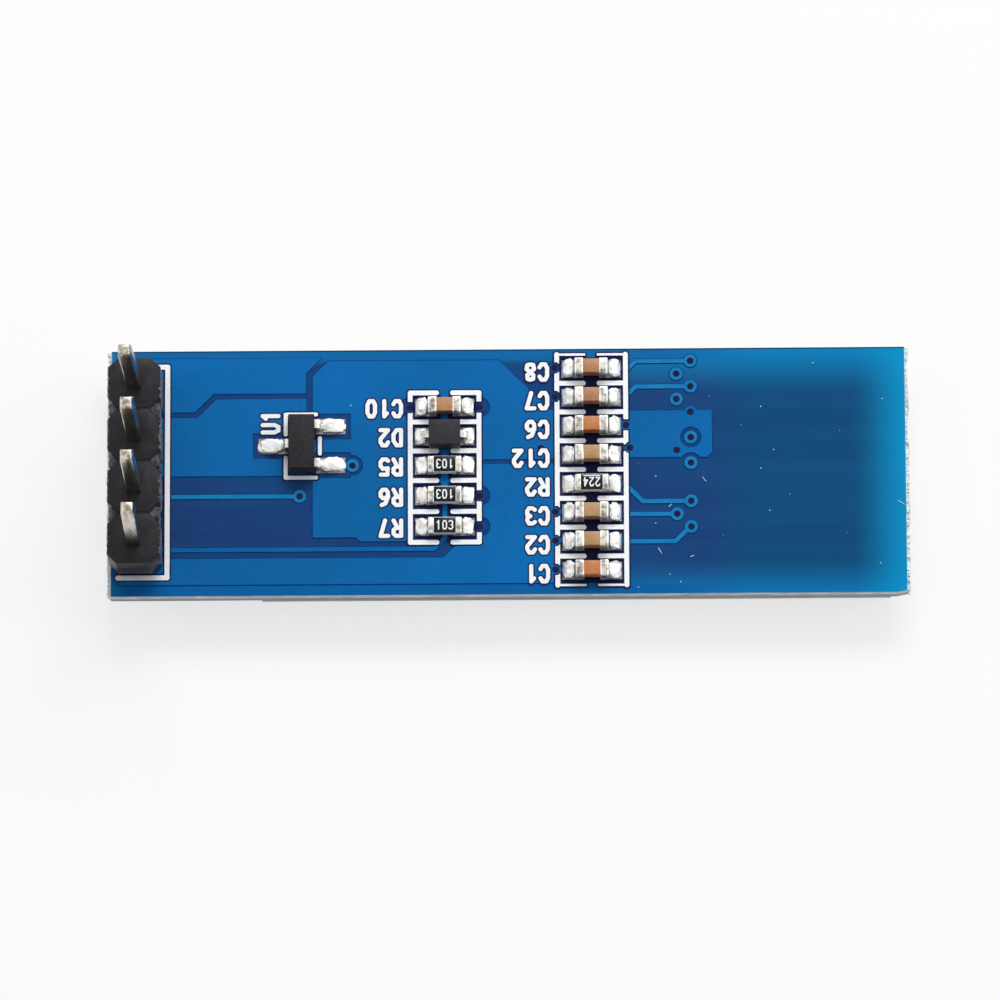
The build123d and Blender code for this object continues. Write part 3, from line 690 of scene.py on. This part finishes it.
def via_hole_shades():
    """Flat dark discs over each via: painted shade of the hole under the film."""
    bm = bmesh.new()
    for centre, width in hole_centres():
        if width < widest_via:
            disc(bm, (centre.x, centre.y, surface + mouth_rise), via_mouth / 2, 16)
    bm.normal_update()
    skirt(bm, [(0.02, mouth_rise)], 0)
    finish("via_hole_shades", bm, [via_hole_shade], [], 0)


# Legend
GLYPHS = {
    "0": [[(0.25, 0), (0.75, 0), (1, 0.25), (1, 0.75), (0.75, 1), (0.25, 1), (0, 0.75), (0, 0.25), (0.25, 0)]],
    "1": [[(0.15, 0.8), (0.5, 1), (0.5, 0)]],
    "2": [[(0, 0.8), (0.25, 1), (0.75, 1), (1, 0.78), (1, 0.6), (0, 0), (1, 0)]],
    "3": [[(0, 0.9), (0.3, 1), (0.75, 1), (1, 0.8), (0.95, 0.6), (0.6, 0.52), (1, 0.4), (1, 0.18), (0.75, 0),
           (0.3, 0), (0, 0.1)]],
    "4": [[(0.72, 0), (0.72, 1), (0, 0.3), (1, 0.3)]],
    "5": [[(0.95, 1), (0.1, 1), (0.05, 0.58), (0.7, 0.62), (1, 0.42), (1, 0.2), (0.72, 0), (0.25, 0), (0, 0.1)]],
    "6": [[(0.85, 1), (0.35, 0.9), (0, 0.45), (0.05, 0.15), (0.3, 0), (0.7, 0), (1, 0.18), (1, 0.4), (0.7, 0.56),
           (0.1, 0.5)]],
    "7": [[(0, 1), (1, 1), (0.4, 0)]],
    "8": [[(0.5, 0.53), (0.1, 0.7), (0.15, 0.95), (0.5, 1), (0.85, 0.95), (0.9, 0.7), (0.5, 0.53), (0, 0.3),
           (0.1, 0.05), (0.5, 0), (0.9, 0.05), (1, 0.3), (0.5, 0.53)]],
    "C": [[(1, 0.8), (0.75, 1), (0.25, 1), (0, 0.75), (0, 0.25), (0.25, 0), (0.75, 0), (1, 0.2)]],
    "D": [[(0, 0), (0, 1), (0.6, 1), (1, 0.7), (1, 0.3), (0.6, 0), (0, 0)]],
    "R": [[(0, 0), (0, 1), (0.7, 1), (1, 0.85), (1, 0.62), (0.7, 0.48), (0, 0.48)], [(0.5, 0.48), (1, 0)]],
    "U": [[(0, 1), (0, 0.25), (0.25, 0), (0.75, 0), (1, 0.25), (1, 1)]],
}


def dash(bm, a, b, width, z):
    """A flat mark with round ends from a to b."""
    a, b = Vector((*a, 0)), Vector((*b, 0))
    run = b - a
    turn = Matrix.Rotation(math.atan2(run.y, run.x), 4, "Z")
    made = bmesh.ops.create_circle(bm, cap_ends=True, radius=width / 2, segments=rim_points,
                                   matrix=Matrix.Rotation(math.pi / rim_points, 4, "Z"))["verts"]
    bmesh.ops.translate(bm, vec=(run.length, 0, 0), verts=[v for v in made if v.co.x > 0])
    bmesh.ops.transform(bm, matrix=Matrix.Translation(a + Vector((0, 0, z))) @ turn, verts=made)
    face = made[0].link_faces[0]
    face.normal_update()
    if face.normal.z < 0:
        bmesh.ops.reverse_faces(bm, faces=[face])


def write(bm, text, corner, turn, size, stroke, z, step):
    """Draws text in strokes, from its lower left corner as read. Each stroke lies a hair above the one before."""
    matrix = Matrix.Translation((*corner, 0)) @ Matrix.Rotation(math.radians(turn), 4, "Z")
    strokes = []
    for i, letter in enumerate(text):
        for line in GLYPHS[letter]:
            points = [matrix @ Vector((i * step + x * size[0], y * size[1], 0)) for x, y in line]
            strokes += zip(points, points[1:])
    for k, (a, b) in enumerate(strokes):
        dash(bm, a.xy, b.xy, stroke, z + stroke_lap * (k % 16))


ink_level = span("back_legend")[1].z
column_a = [("capacitor_1_body", "C10"), ("diode_body", "D2"), ("resistor_1_body", "R5"),
            ("resistor_2_body", "R6"), ("resistor_3_body", "R7")]
column_b = [("capacitor_2_body", "C8"), ("capacitor_3_body", "C7"), ("capacitor_4_body", "C6"),
            ("capacitor_5_body", "C12"), ("resistor_4_body", "R2"), ("capacitor_6_body", "C3"),
            ("capacitor_7_body", "C2"), ("capacitor_8_body", "C1")]
label_gap = {"a": 2.08, "b": 2.1}     # middle of a part to the right end of its label
label_drop = {"a": 0.05, "b": 0.14}


def legend():
    """Frames and labels in white ink, each with a dark rim of painted shade round it. The labels of the chip parts
    stand on their heads.
    """
    bm = node_mesh("back_legend", lambda f: f.normal.z > 0.9)
    level(bm, ink_level)
    skirt(bm, [(ink_spread, ink_settle), (0.0, 0.04)], 1)
    finish("legend_frames", bm, [ink, ink_shade_rim], ["back_legend"], 0)

    size = (glyph_width, glyph_height)
    shade_rim_stroke = label_stroke + 2 * ink_spread
    for name, material, stroke, z in (("legend_labels", ink, label_stroke, ink_level),
                                      ("label_shade_rims", ink_shade_rim, shade_rim_stroke, ink_level - ink_settle)):
        bm = bmesh.new()
        for column, labels in (("a", column_a), ("b", column_b)):
            for node, text in labels:
                at = middle(node)
                corner = (at.x - label_gap[column], at.y - label_drop[column] + glyph_height / 2)
                write(bm, text, corner, 180, size, stroke, z, glyph_step)
        at = middle("regulator_body")
        write(bm, "U1", (at.x - 1.12, at.y + 0.68), 90, size, stroke, z, glyph_step)
        skirt(bm, [(0.0, ink_settle)], 0)
        finish(name, bm, [material], [], 0)


# Chip parts
def shaded_bands(bm, lo, hi, band, half):
    """Darker tin along the middle of each metal end, between its brighter edges: painted shade along the middle
    and painted highlight on the edges.
    """
    for f in bm.faces:
        x = f.calc_center_median().x
        gap = min(abs(x - lo.x - band / 2), abs(x - hi.x + band / 2))
        f.material_index = int(gap < half)


def end_caps(lo, hi, band, radius, segments, shade_half, wear, seed):
    """The two metal ends of a chip part, with soft uneven edges. Returns their mesh."""
    bm = bmesh.new()
    for x0, x1 in ((lo.x, lo.x + band), (hi.x - band, hi.x)):
        verts = round_box(bm, (x0, lo.y, lo.z), (x1, hi.y, hi.z), radius, segments)
        edges = list({e for v in verts for e in v.link_edges})
        bmesh.ops.subdivide_edges(bm, edges=edges, cuts=1, use_grid_fill=True)
    bm.normal_update()
    smooth(bm)
    shaded_bands(bm, lo, hi, band, shade_half)
    rough_up(bm.verts, *wear, seed)
    return bm


def capacitor(i, material):
    body, ends = f"capacitor_{i}_body", f"capacitor_{i}_ends"
    lo, hi = span(ends)
    inner_lo, inner_hi = span(body)
    bm = bmesh.new()
    round_box(bm, (lo.x + ceramic_start, inner_lo.y + ceramic_inset, inner_lo.z),
              (hi.x - ceramic_start, inner_hi.y - ceramic_inset, inner_hi.z), 0.035, 3)
    finish(f"capacitor_{i}_block", bm, [material], [body])

    bm = end_caps(lo, hi, cap_band, cap_edge, 4, cap_shade_half, cap_wear, i)
    for v in bm.verts:
        for k in range(3):
            v.co[k] = min(max(v.co[k], lo[k]), hi[k])
    finish(f"capacitor_{i}_caps", bm, [tin_highlight, tin_shade], [ends], 60)


def resistor(i, code, turn, line):
    """A chip resistor, whose code may have a line under it."""
    body, ends, coat = (f"resistor_{i}_{part}" for part in ("body", "ends", "overcoat"))
    lo, hi = span(body)
    bm = bmesh.new()
    round_box(bm, (lo.x + 0.02, lo.y, lo.z), (hi.x - 0.02, hi.y, hi.z), 0.015, 2)
    finish(f"resistor_{i}_base", bm, [alumina], [body])

    bm = end_caps(*span(ends), resistor_band, resistor_edge, 3, resistor_shade_half, resistor_wear, i + 20)
    finish(f"resistor_{i}_caps", bm, [tin_highlight, tin_shade], [ends], 60)

    lo, hi = span(coat)
    bm = bmesh.new()
    round_box(bm, lo, hi, 0.012, 2)
    finish(f"resistor_{i}_glaze", bm, [glaze], [coat])

    bm = bmesh.new()
    width = (len(code) - 1) * code_step + code_size[0]
    at = middle(coat)
    sign = -1 if turn else 1
    height = hi.z + 0.002
    corner = (at.x - sign * width / 2, at.y - sign * (code_size[1] / 2))
    write(bm, code, corner, turn, code_size, code_stroke, height, code_step)
    if line:
        y = at.y - sign * (code_size[1] / 2 + 0.1)
        dash(bm, (at.x - width / 2, y), (at.x + width / 2, y), code_stroke * 0.8, height)
    finish(f"resistor_{i}_code", bm, [ink], [], 0)


def solder_lump(bm, lo, hi, side, seed):
    """An uneven lump of solder in a box, higher at the part and lower at the pad's far end."""
    centre, half = (lo + hi) / 2, (hi - lo) / 2
    verts = bmesh.ops.create_icosphere(bm, subdivisions=4, radius=1.0)["verts"]
    for v in verts:
        n = v.co.normalized()
        boxy = Vector([math.copysign(abs(c) ** 0.62, c) for c in n])
        shift = Vector((seed * 3.7, seed * 1.9, seed * 2.3))
        swell = 1 + 0.22 * noise.noise(n * 1.7 + shift) + 0.12 * noise.noise(n * 4.1 + shift)
        p = Vector([boxy[k] * half[k] * swell for k in range(3)])
        out = (side * p.x / half.x + 1) / 2
        p.z = (p.z + half.z) * (1 - 0.55 * max(out, 0) ** 1.5) - half.z
        p.z = max(p.z, -half.z)
        v.co = centre + p
    for f in {f for v in verts for f in v.link_faces}:
        f.smooth = True


def lump_beside(bm, x, y, side, reach, half, height, seed):
    """A lump of solder from reach[0] to reach[1] along X, on one side of x."""
    a, b = x + side * reach[0], x + side * reach[1]
    lo = Vector((min(a, b), y - half, pad_level))
    solder_lump(bm, lo, Vector((max(a, b), y + half, pad_level + height)), side, seed)


def chip_solder():
    bm = bmesh.new()
    seed = 1
    for kind, count in (("capacitor", 8), ("resistor", 4)):
        for i in range(1, count + 1):
            lo, hi = span(f"{kind}_{i}_ends")
            rise = (hi.z - lo.z) * chip_lump_rise
            for side, edge in ((-1, lo.x), (1, hi.x)):
                lump_beside(bm, edge, (lo.y + hi.y) / 2, side, chip_lump, lump_halves["chip"], rise, seed)
                seed += 1
    finish("chip_solder", bm, [solder], ["chip_joints"], 40)


# Moulded parts
def moulding(node, name, material, radius, drafts):
    lo, hi = span(node)
    bm = bmesh.new()
    verts = round_box(bm, lo, hi, radius, 3)
    waist = (lo.z + hi.z) / 2
    for v in verts:
        lean = abs(v.co.z - waist) / (hi.z - waist)
        for k in (0, 1):
            centre = (lo[k] + hi[k]) / 2
            v.co[k] -= math.copysign(lean * drafts[k], v.co[k] - centre)
    finish(name, bm, [material], [node])


def lead_solder():
    """Bright lumps over the lead feet of the regulator and the diode."""
    bm = bmesh.new()
    at = middle("regulator_body")
    for seed, (side, y) in enumerate(regulator_feet, 60):
        lump_beside(bm, at.x, at.y + y, side, regulator_foot, lump_halves["regulator"],
                    lump_heights["regulator"], seed)
    at = middle("diode_body")
    for seed, side in enumerate((-1, 1), 70):
        lump_beside(bm, at.x, at.y, side, diode_foot, lump_halves["diode"], lump_heights["diode"], seed)
    finish("lead_solder", bm, [solder], ["regulator_joints", "diode_joints"], 40)


def pad_tin():
    """Thin tin on every pad."""
    at = middle("regulator_body")
    pads = [(at.x, at.y + y, side, regulator_pad, pad_halves["regulator"]) for side, y in regulator_feet]
    cells = [f"capacitor_{i}_body" for i in range(1, 9)] + [f"resistor_{i}_body" for i in range(1, 5)]
    for node in cells + ["diode_body"]:
        at = middle(node)
        pads += [(at.x, at.y, side, chip_pad, pad_halves["chip"]) for side in (-1, 1)]
    bm = bmesh.new()
    for x, y, side, reach, half in pads:
        x0, x1 = sorted(x + side * r for r in reach)
        round_box(bm, (x0, y - half, pad_level - tin_depth), (x1, y + half, pad_level + tin_height), tin_edge, 1)
    finish("pad_tin", bm, [tinned_pad], [])


def header():
    """Blocks with worn edges."""
    bm = node_mesh("header_housing", lambda f: True)
    bmesh.ops.dissolve_limit(bm, angle_limit=0.02, verts=bm.verts, edges=bm.edges)
    edges = [e for e in bm.edges
             if len(e.link_faces) == 2 and e.calc_face_angle(0) > 0.3 and e.calc_length() > 0.15]
    bmesh.ops.bevel(bm, geom=edges, offset=block_wear, offset_type="OFFSET", segments=2, profile=0.5,
                    affect="EDGES", material=-1, clamp_overlap=True)
    smooth(bm)
    finish("header_blocks", bm, [housing_black], ["header_housing"], 50)


def header_flash():
    """Scraps of torn plastic along both sides of the row."""
    lo, hi = span("header_housing")
    bm = bmesh.new()
    for x, side in ((lo.x, -1), (hi.x, 1)):
        for i in range(1, 5):
            y = middle(f"header_pin_{i}").y
            for k in range(flash_count):
                t = y - flash_half + 2 * flash_half * (k + rng.random()) / flash_count
                size = rng.uniform(*flash_sizes)
                z = hi.z - flash_top - rng.random() ** 2 * flash_drop
                at = Vector((x - side * 0.02, t, z))
                half = Vector((0.03, size * 1.6, size))
                turn = rng.uniform(0, 3.1)
                spin = Matrix.Rotation(turn, 4, Vector((rng.random(), rng.random(), 1)).normalized())
                round_box(bm, at - half, at + half, 0.008, 1, spin)
    for v in bm.verts:
        v.co.x = min(max(v.co.x, lo.x - flash_reach), hi.x + flash_reach)
    finish("header_flash", bm, [torn_plastic], [])


def header_webs():
    """Torn webs in the notches between the blocks."""
    lo, hi = span("header_housing")
    rows = [middle(f"header_pin_{i}").y for i in range(1, 5)]
    bm = bmesh.new()
    for y0, y1 in zip(rows, rows[1:]):
        for side, x in ((1, lo.x), (-1, hi.x)):
            x0, x1 = sorted(x + side * reach for reach in web_reach)
            y = (y0 + y1) / 2
            verts = round_box(bm, (x0, y - web_half, lo.z), (x1, y + web_half, hi.z - web_drop), 0.06, 2)
            edges = list({e for v in verts for e in v.link_edges})
            bmesh.ops.subdivide_edges(bm, edges=edges, cuts=3, use_grid_fill=True)
    bm.normal_update()
    smooth(bm)
    rough_up(bm.verts, web_ruggedness, 5.0, 9)
    for v in bm.verts:
        v.co.z = max(v.co.z, lo.z)
    finish("header_webs", bm, [web_plastic], [])


def pins():
    """Square pins with soft edges and short tapered tips, each leaning a little its own way."""
    base = span("header_housing")[1].z
    for i, lean in enumerate(pin_leans, 1):
        node = f"header_pin_{i}"
        lo, hi = span(node)
        at = (lo + hi) / 2
        bm = bmesh.new()
        round_box(bm, lo, hi, pin_edge, 3)
        for z in (hi.z - pin_taper, lo.z + pin_taper, base):
            bmesh.ops.bisect_plane(bm, geom=bm.verts[:] + bm.edges[:] + bm.faces[:], plane_co=(0, 0, z),
                                   plane_no=(0, 0, 1))
        for v in bm.verts:
            tip = max(v.co.z - hi.z + pin_taper, lo.z + pin_taper - v.co.z, 0) / pin_taper
            rise = max(v.co.z - base, 0) / (hi.z - base)
            for k in (0, 1):
                v.co[k] = at[k] + (v.co[k] - at[k]) * (1 - pin_narrowing * tip) + lean[k] * rise
        finish(f"pin_{i}", bm, [pin_metal], [node], 50)


def torn_ends():
    """Ragged glass fibres left where the board was snapped off at both ends."""
    bm = bmesh.new()
    lo, hi = span("circuit_board")
    edge = span("back_solder_mask")[1].x + fibre_start
    for side, end in ((-1, -lo.x), (1, hi.x)):
        for _ in range(fibre_count):
            y = rng.uniform(lo.y + 0.08, hi.y - 0.03)
            ragged = 0.5 + 0.5 * noise.noise(Vector((side * 3.1, y * 0.9, 0)))
            grown = short_share if side > 0 and y > short_from else 1.0
            reach = min(edge + 0.02 + rng.uniform(*fibre_lengths) * (0.5 + ragged) * grown, end - 0.004)
            z = rng.uniform(lo.z + 0.05, hi.z - 0.03)
            deep = abs(z - (lo.z + hi.z) / 2) / 0.45
            reach = min(reach, edge + 0.03 + 0.13 * (1 - 0.6 * deep))
            half = rng.uniform(*fibre_halves)
            x0, x1 = sorted((side * (edge - fibre_root), side * reach))
            spin = Matrix.Rotation(rng.uniform(-fibre_turn, fibre_turn), 4, "Z")
            round_box(bm, (x0, y - half, z - half * 0.6), (x1, y + half, z + half * 0.6), 0.006, 1, spin)
    for v in bm.verts:
        v.co.x = min(max(v.co.x, lo.x), hi.x)
        v.co.y = min(max(v.co.y, lo.y), hi.y)
    finish("torn_fibres", bm, [fibre], [])


# X and Y of each speck, the larger ones first, and X, Y, turn in degrees and length of each fibre
dust_spots = [(7.02, -0.3), (7.0, -2.58), (7.65, -5.08), (8.17, -5.45), (6.15, -5.7), (12.04, 3.1), (12.03, 0.08),
              (12.65, 0.98), (12.43, -2.0), (17.85, 3.45), (17.67, -4.6), (14.55, 5.22), (-7.5, 3.28), (6.2, 0.37),
              (10.2, -3.2), (11.1, 2.2), (13.4, -1.2), (15.8, 1.9), (9.6, 3.6), (16.1, -3.1)]
dust_fibres = [(9.33, -0.45, 130, 0.3), (7.7, -1.72, 40, 0.2), (7.2, -3.93, 120, 0.34), (8.72, -4.2, 20, 0.2),
               (18.7, -1.65, 145, 0.36), (4.6, 3.55, 20, 0.16)]


def dust():
    """Specks and short fibres that lie on the film."""
    bm = bmesh.new()
    for k, (x, y) in enumerate(dust_spots):
        size = speck_sizes[k >= large_specks]
        matrix = Matrix.Translation((x, y, surface + 0.005)) @ Matrix.Diagonal((size, size * 0.85, 0.02, 1))
        bmesh.ops.create_icosphere(bm, subdivisions=2, radius=1.0, matrix=matrix)
    for x, y, turn, length in dust_fibres:
        spin = Matrix.Rotation(math.radians(turn), 4, "Z")
        at = Vector((x, y, surface + 0.008))
        half = Vector((length / 2, *dust_fibre))
        round_box(bm, at - half, at + half, 0.008, 2, spin)
    smooth(bm)
    finish("dust", bm, [dust_white], [], 0)


# Camera, light and table
def camera():
    scene = bpy.context.scene
    turn = Matrix.Identity(3)
    for angle, axis in zip(camera_turn, "XYZ"):
        turn = Matrix.Rotation(math.radians(angle), 3, axis) @ turn
    data = bpy.data.cameras.new("camera")
    data.sensor_width = sensor_width
    data.lens = sensor_width * picture_focal / picture_width
    data.clip_start, data.clip_end = 0.01, 10
    made = bpy.data.objects.new("camera", data)
    back = turn.transposed()
    spot = back @ Vector((-camera_aim[0], -camera_aim[1], camera_distance)) + Vector((0, 0, surface))
    made.matrix_world = Matrix.Translation(spot * mm) @ back.to_4x4()
    scene.collection.objects.link(made)
    scene.camera = made
    scene.view_settings.view_transform = "Standard"


def softbox(name, place_mm, size_mm, power):
    """A rectangular lamp that looks at the object."""
    light = bpy.data.lights.new(name, "AREA")
    light.shape = "RECTANGLE"
    light.size, light.size_y = size_mm[0] * mm, size_mm[1] * mm
    light.energy = power
    lamp = bpy.data.objects.new(name, light)
    spot = Vector(place_mm) * mm
    lamp.location = spot
    lamp.rotation_euler = (-spot).to_track_quat("-Z", "Y").to_euler()
    bpy.context.scene.collection.objects.link(lamp)


def seen_directly(nodes, links):
    """1 for camera, glossy and transmission rays, to which the background is white."""
    path = nodes.new("ShaderNodeLightPath")
    total = path.outputs["Is Camera Ray"]
    for kind in ("Is Glossy Ray", "Is Transmission Ray"):
        sums = nodes.new("ShaderNodeMath")
        sums.operation = "ADD"
        sums.use_clamp = True
        links.new(total, sums.inputs[0])
        links.new(path.outputs[kind], sums.inputs[1])
        total = sums.outputs[0]
    return total


def sky():
    """Soft light from all round, stronger from the back, behind a plain white background."""
    world = bpy.data.worlds.new("studio")
    bpy.context.scene.world = world
    world.use_nodes = True
    nodes, links = world.node_tree.nodes, world.node_tree.links
    soft = nodes["Background"]
    soft.inputs["Color"].default_value = sky_color
    coords = nodes.new("ShaderNodeTexCoord")
    split = nodes.new("ShaderNodeSeparateXYZ")
    front_to_back = nodes.new("ShaderNodeMapRange")
    links.new(coords.outputs["Generated"], split.inputs["Vector"])
    links.new(split.outputs["Y"], front_to_back.inputs["Value"])
    for key, value in zip(("From Min", "From Max", "To Min", "To Max"), sky_slope + sky_strength):
        front_to_back.inputs[key].default_value = value
    links.new(front_to_back.outputs["Result"], soft.inputs["Strength"])
    plain = nodes.new("ShaderNodeBackground")
    plain.inputs["Color"].default_value = (1, 1, 1, 1)
    mix = nodes.new("ShaderNodeMixShader")
    links.new(seen_directly(nodes, links), mix.inputs["Fac"])
    links.new(soft.outputs[0], mix.inputs[1])
    links.new(plain.outputs[0], mix.inputs[2])
    links.new(mix.outputs[0], nodes["World Output"].inputs["Surface"])


def table():
    bm = bmesh.new()
    bmesh.ops.create_grid(bm, x_segments=2, y_segments=2, size=table_half)
    bmesh.ops.scale(bm, vec=(mm, mm, mm), verts=bm.verts)
    mesh = bpy.data.meshes.new("table")
    bm.to_mesh(mesh)
    bm.free()
    floor = bpy.data.objects.new("table", mesh)
    floor.location.z = -table_drop * mm
    bpy.context.scene.collection.objects.link(floor)
    m = bpy.data.materials.new("table top")
    m.use_nodes = True
    nodes, links = m.node_tree.nodes, m.node_tree.links
    skin = nodes["Principled BSDF"]
    skin.inputs["Base Color"].default_value = table_color
    skin.inputs["Roughness"].default_value = 0.7
    glow = nodes.new("ShaderNodeEmission")
    share = nodes.new("ShaderNodeMath")
    share.operation = "MULTIPLY"
    links.new(seen_directly(nodes, links), share.inputs[0])
    share.inputs[1].default_value = table_white
    mix = nodes.new("ShaderNodeMixShader")
    links.new(share.outputs[0], mix.inputs["Fac"])
    links.new(skin.outputs[0], mix.inputs[1])
    links.new(glow.outputs[0], mix.inputs[2])
    links.new(mix.outputs[0], nodes["Material Output"].inputs["Surface"])
    mesh.materials.append(m)


# CAD nodes that are shown as they are
def dress(nodes, material):
    for name in nodes:
        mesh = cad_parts[name].data
        mesh.materials.clear()
        mesh.materials.append(material)


camera()
sky()
for name, (at, size, power) in softboxes.items():
    softbox(name, at, size, power)
table()
board()
mask_pieces()
via_hole_shades()
legend()
for i, material in enumerate((brown, brown, brown, orange, tan, tan, tan, orange), 1):
    capacitor(i, material)
for i, (code, turn, line) in enumerate((("103", 180, False), ("103", 180, False), ("103", 0, False),
                                        ("224", 180, True)), 1):
    resistor(i, code, turn, line)
chip_solder()
lead_solder()
pad_tin()
moulding("regulator_body", "regulator_case", moulding_black, 0.04, (0.06, 0.14))
moulding("diode_body", "diode_case", diode_grey, 0.04, (0.09, 0.06))
header()
header_flash()
header_webs()
pins()
torn_ends()
dust()

dress(["back_copper"], covered_copper)
dress(["front_copper", "plated_barrels"], bare_copper)
dress(["front_solder_mask"], copper_mask)
dress(["header_joints"], cone_solder)
dress(["regulator_leads", "diode_leads"], lead_metal)
dress(["polarizer"], polarizer_black)
dress(["substrate_glass", "cap_glass"], panel_glass)
dress(["emitting_film"], emitting_dark)
dress(["driver_chip"], silicon)
dress(["foam_tape"], foam_black)
dress(["flex_tail"], amber)
dress(["flex_contacts"], gold)
dress(["flex_joints"], solder)
